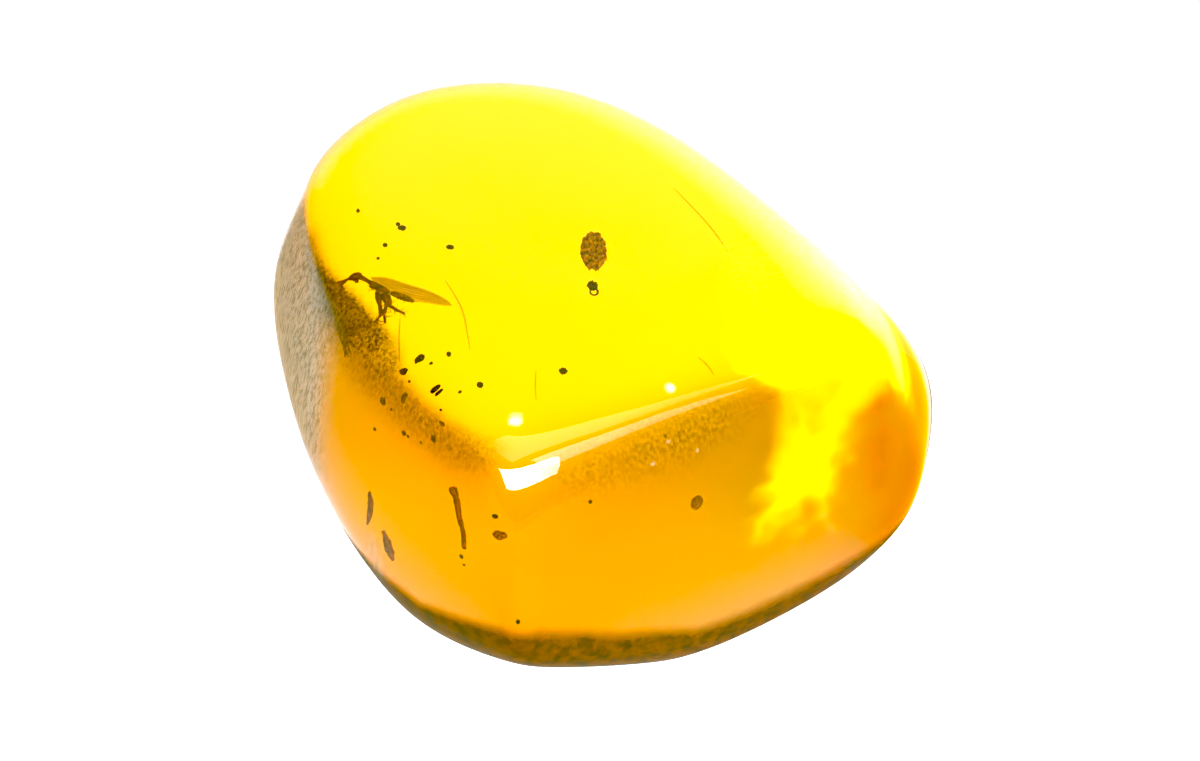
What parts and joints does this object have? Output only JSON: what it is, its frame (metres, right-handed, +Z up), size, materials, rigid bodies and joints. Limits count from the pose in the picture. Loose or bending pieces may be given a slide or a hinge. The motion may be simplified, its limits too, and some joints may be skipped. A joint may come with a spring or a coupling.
{
  "type": "insect in amber",
  "caption": "Polished pebble of clear golden amber, ground flat below, with a small winged insect and specks of debris sealed inside.",
  "frame": {"origin": "middle of the stone's box in X and Y, on its flat base", "axes": "+Z up out of the base, +X to the right and +Y to the back as the stone is shown"},
  "size_m": [0.0268, 0.0266, 0.0122],
  "materials": {
    "amber": "polished clear golden amber",
    "chitin": "dark brown chitin with golden wings",
    "frass": "mottled olive brown pellet",
    "soot": "black, dull grit",
    "bark": "dark brown rough twig",
    "seed": "reddish brown, dull"
  },
  "bodies": {
    "root": {"amber_upper": "amber", "amber_lower": "amber", "insect": "chitin", "frass_pellet": "frass", "curled_crumb": "soot", "twig_fragment": "bark", "seed_grain": "seed", "dust_grain_1": "soot", "dust_grain_2": "soot", "dust_grain_3": "soot", "dust_grain_4": "soot"}
  },
  "joints": []
}
